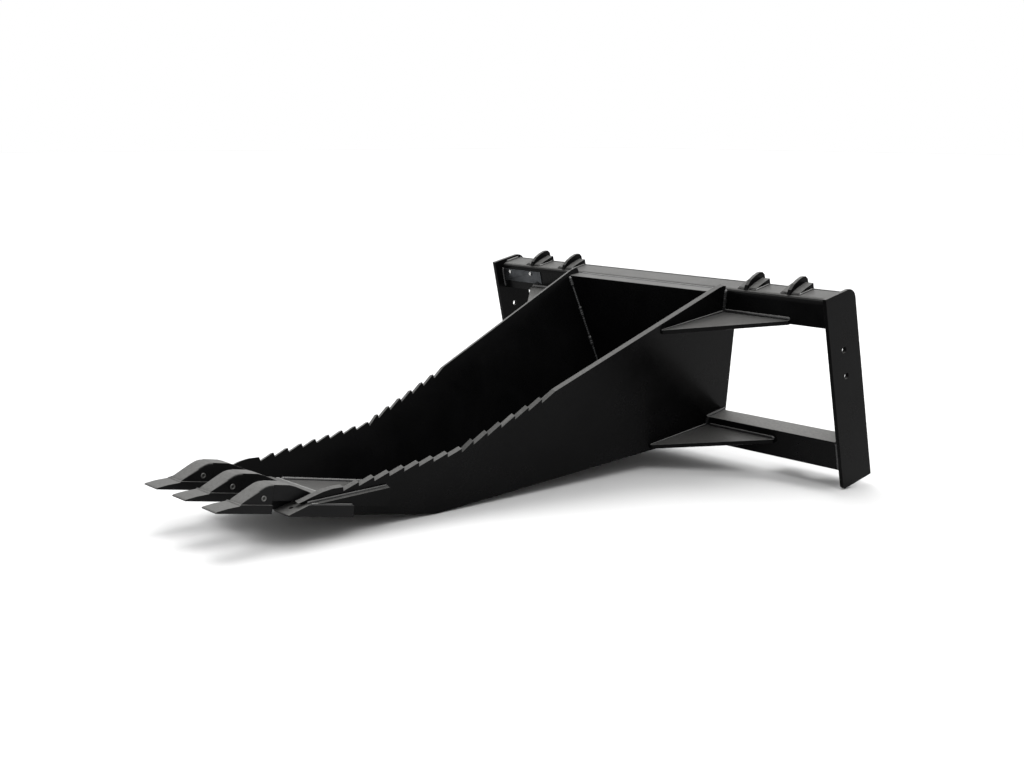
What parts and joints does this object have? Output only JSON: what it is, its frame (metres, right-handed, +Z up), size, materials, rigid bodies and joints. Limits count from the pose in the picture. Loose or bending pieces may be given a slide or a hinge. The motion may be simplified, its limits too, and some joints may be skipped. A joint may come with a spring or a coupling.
{
  "type": "stump bucket",
  "caption": "Narrow welded trough bucket with serrated side plates, front teeth and an open quick-attach frame, for digging out stumps and roots.",
  "frame": {"origin": "centre of the bounding box on the ground the bucket stands on", "axes": "+Y from the tooth tips towards the loader frame, +Z up, +X to the right as seen from behind the frame"},
  "size_m": [1.144, 1.4796, 0.4825],
  "materials": {
    "black_paint": "semi-gloss",
    "worn_tooth_paint": "satin",
    "bare_steel": "satin"
  },
  "bodies": {
    "root": {"back_plate": "black_paint", "bottom_rail": "black_paint", "corner_tooth_left": "worn_tooth_paint", "corner_tooth_right": "worn_tooth_paint", "cutting_edge": "black_paint", "end_plate_left": "black_paint", "end_plate_right": "black_paint", "floor_plate": "black_paint", "hook_ear_left_inner": "black_paint", "hook_ear_left_outer": "black_paint", "hook_ear_right_inner": "black_paint", "hook_ear_right_outer": "black_paint", "hook_lip": "black_paint", "identification_plate": "bare_steel", "lock_pin_plate_left": "black_paint", "lock_pin_plate_right": "black_paint", "lower_gusset_left": "black_paint", "lower_gusset_right": "black_paint", "side_cutter_left": "black_paint", "side_cutter_right": "black_paint", "side_plate_left": "black_paint", "side_plate_right": "black_paint", "tooth_pin_1": "bare_steel", "tooth_pin_2": "bare_steel", "tooth_pin_3": "bare_steel", "tooth_point_1": "worn_tooth_paint", "tooth_point_2": "worn_tooth_paint", "tooth_point_3": "worn_tooth_paint", "tooth_shank_1": "black_paint", "tooth_shank_2": "black_paint", "tooth_shank_3": "black_paint", "top_rail": "black_paint", "upper_gusset_left": "black_paint", "upper_gusset_right": "black_paint"}
  },
  "joints": []
}
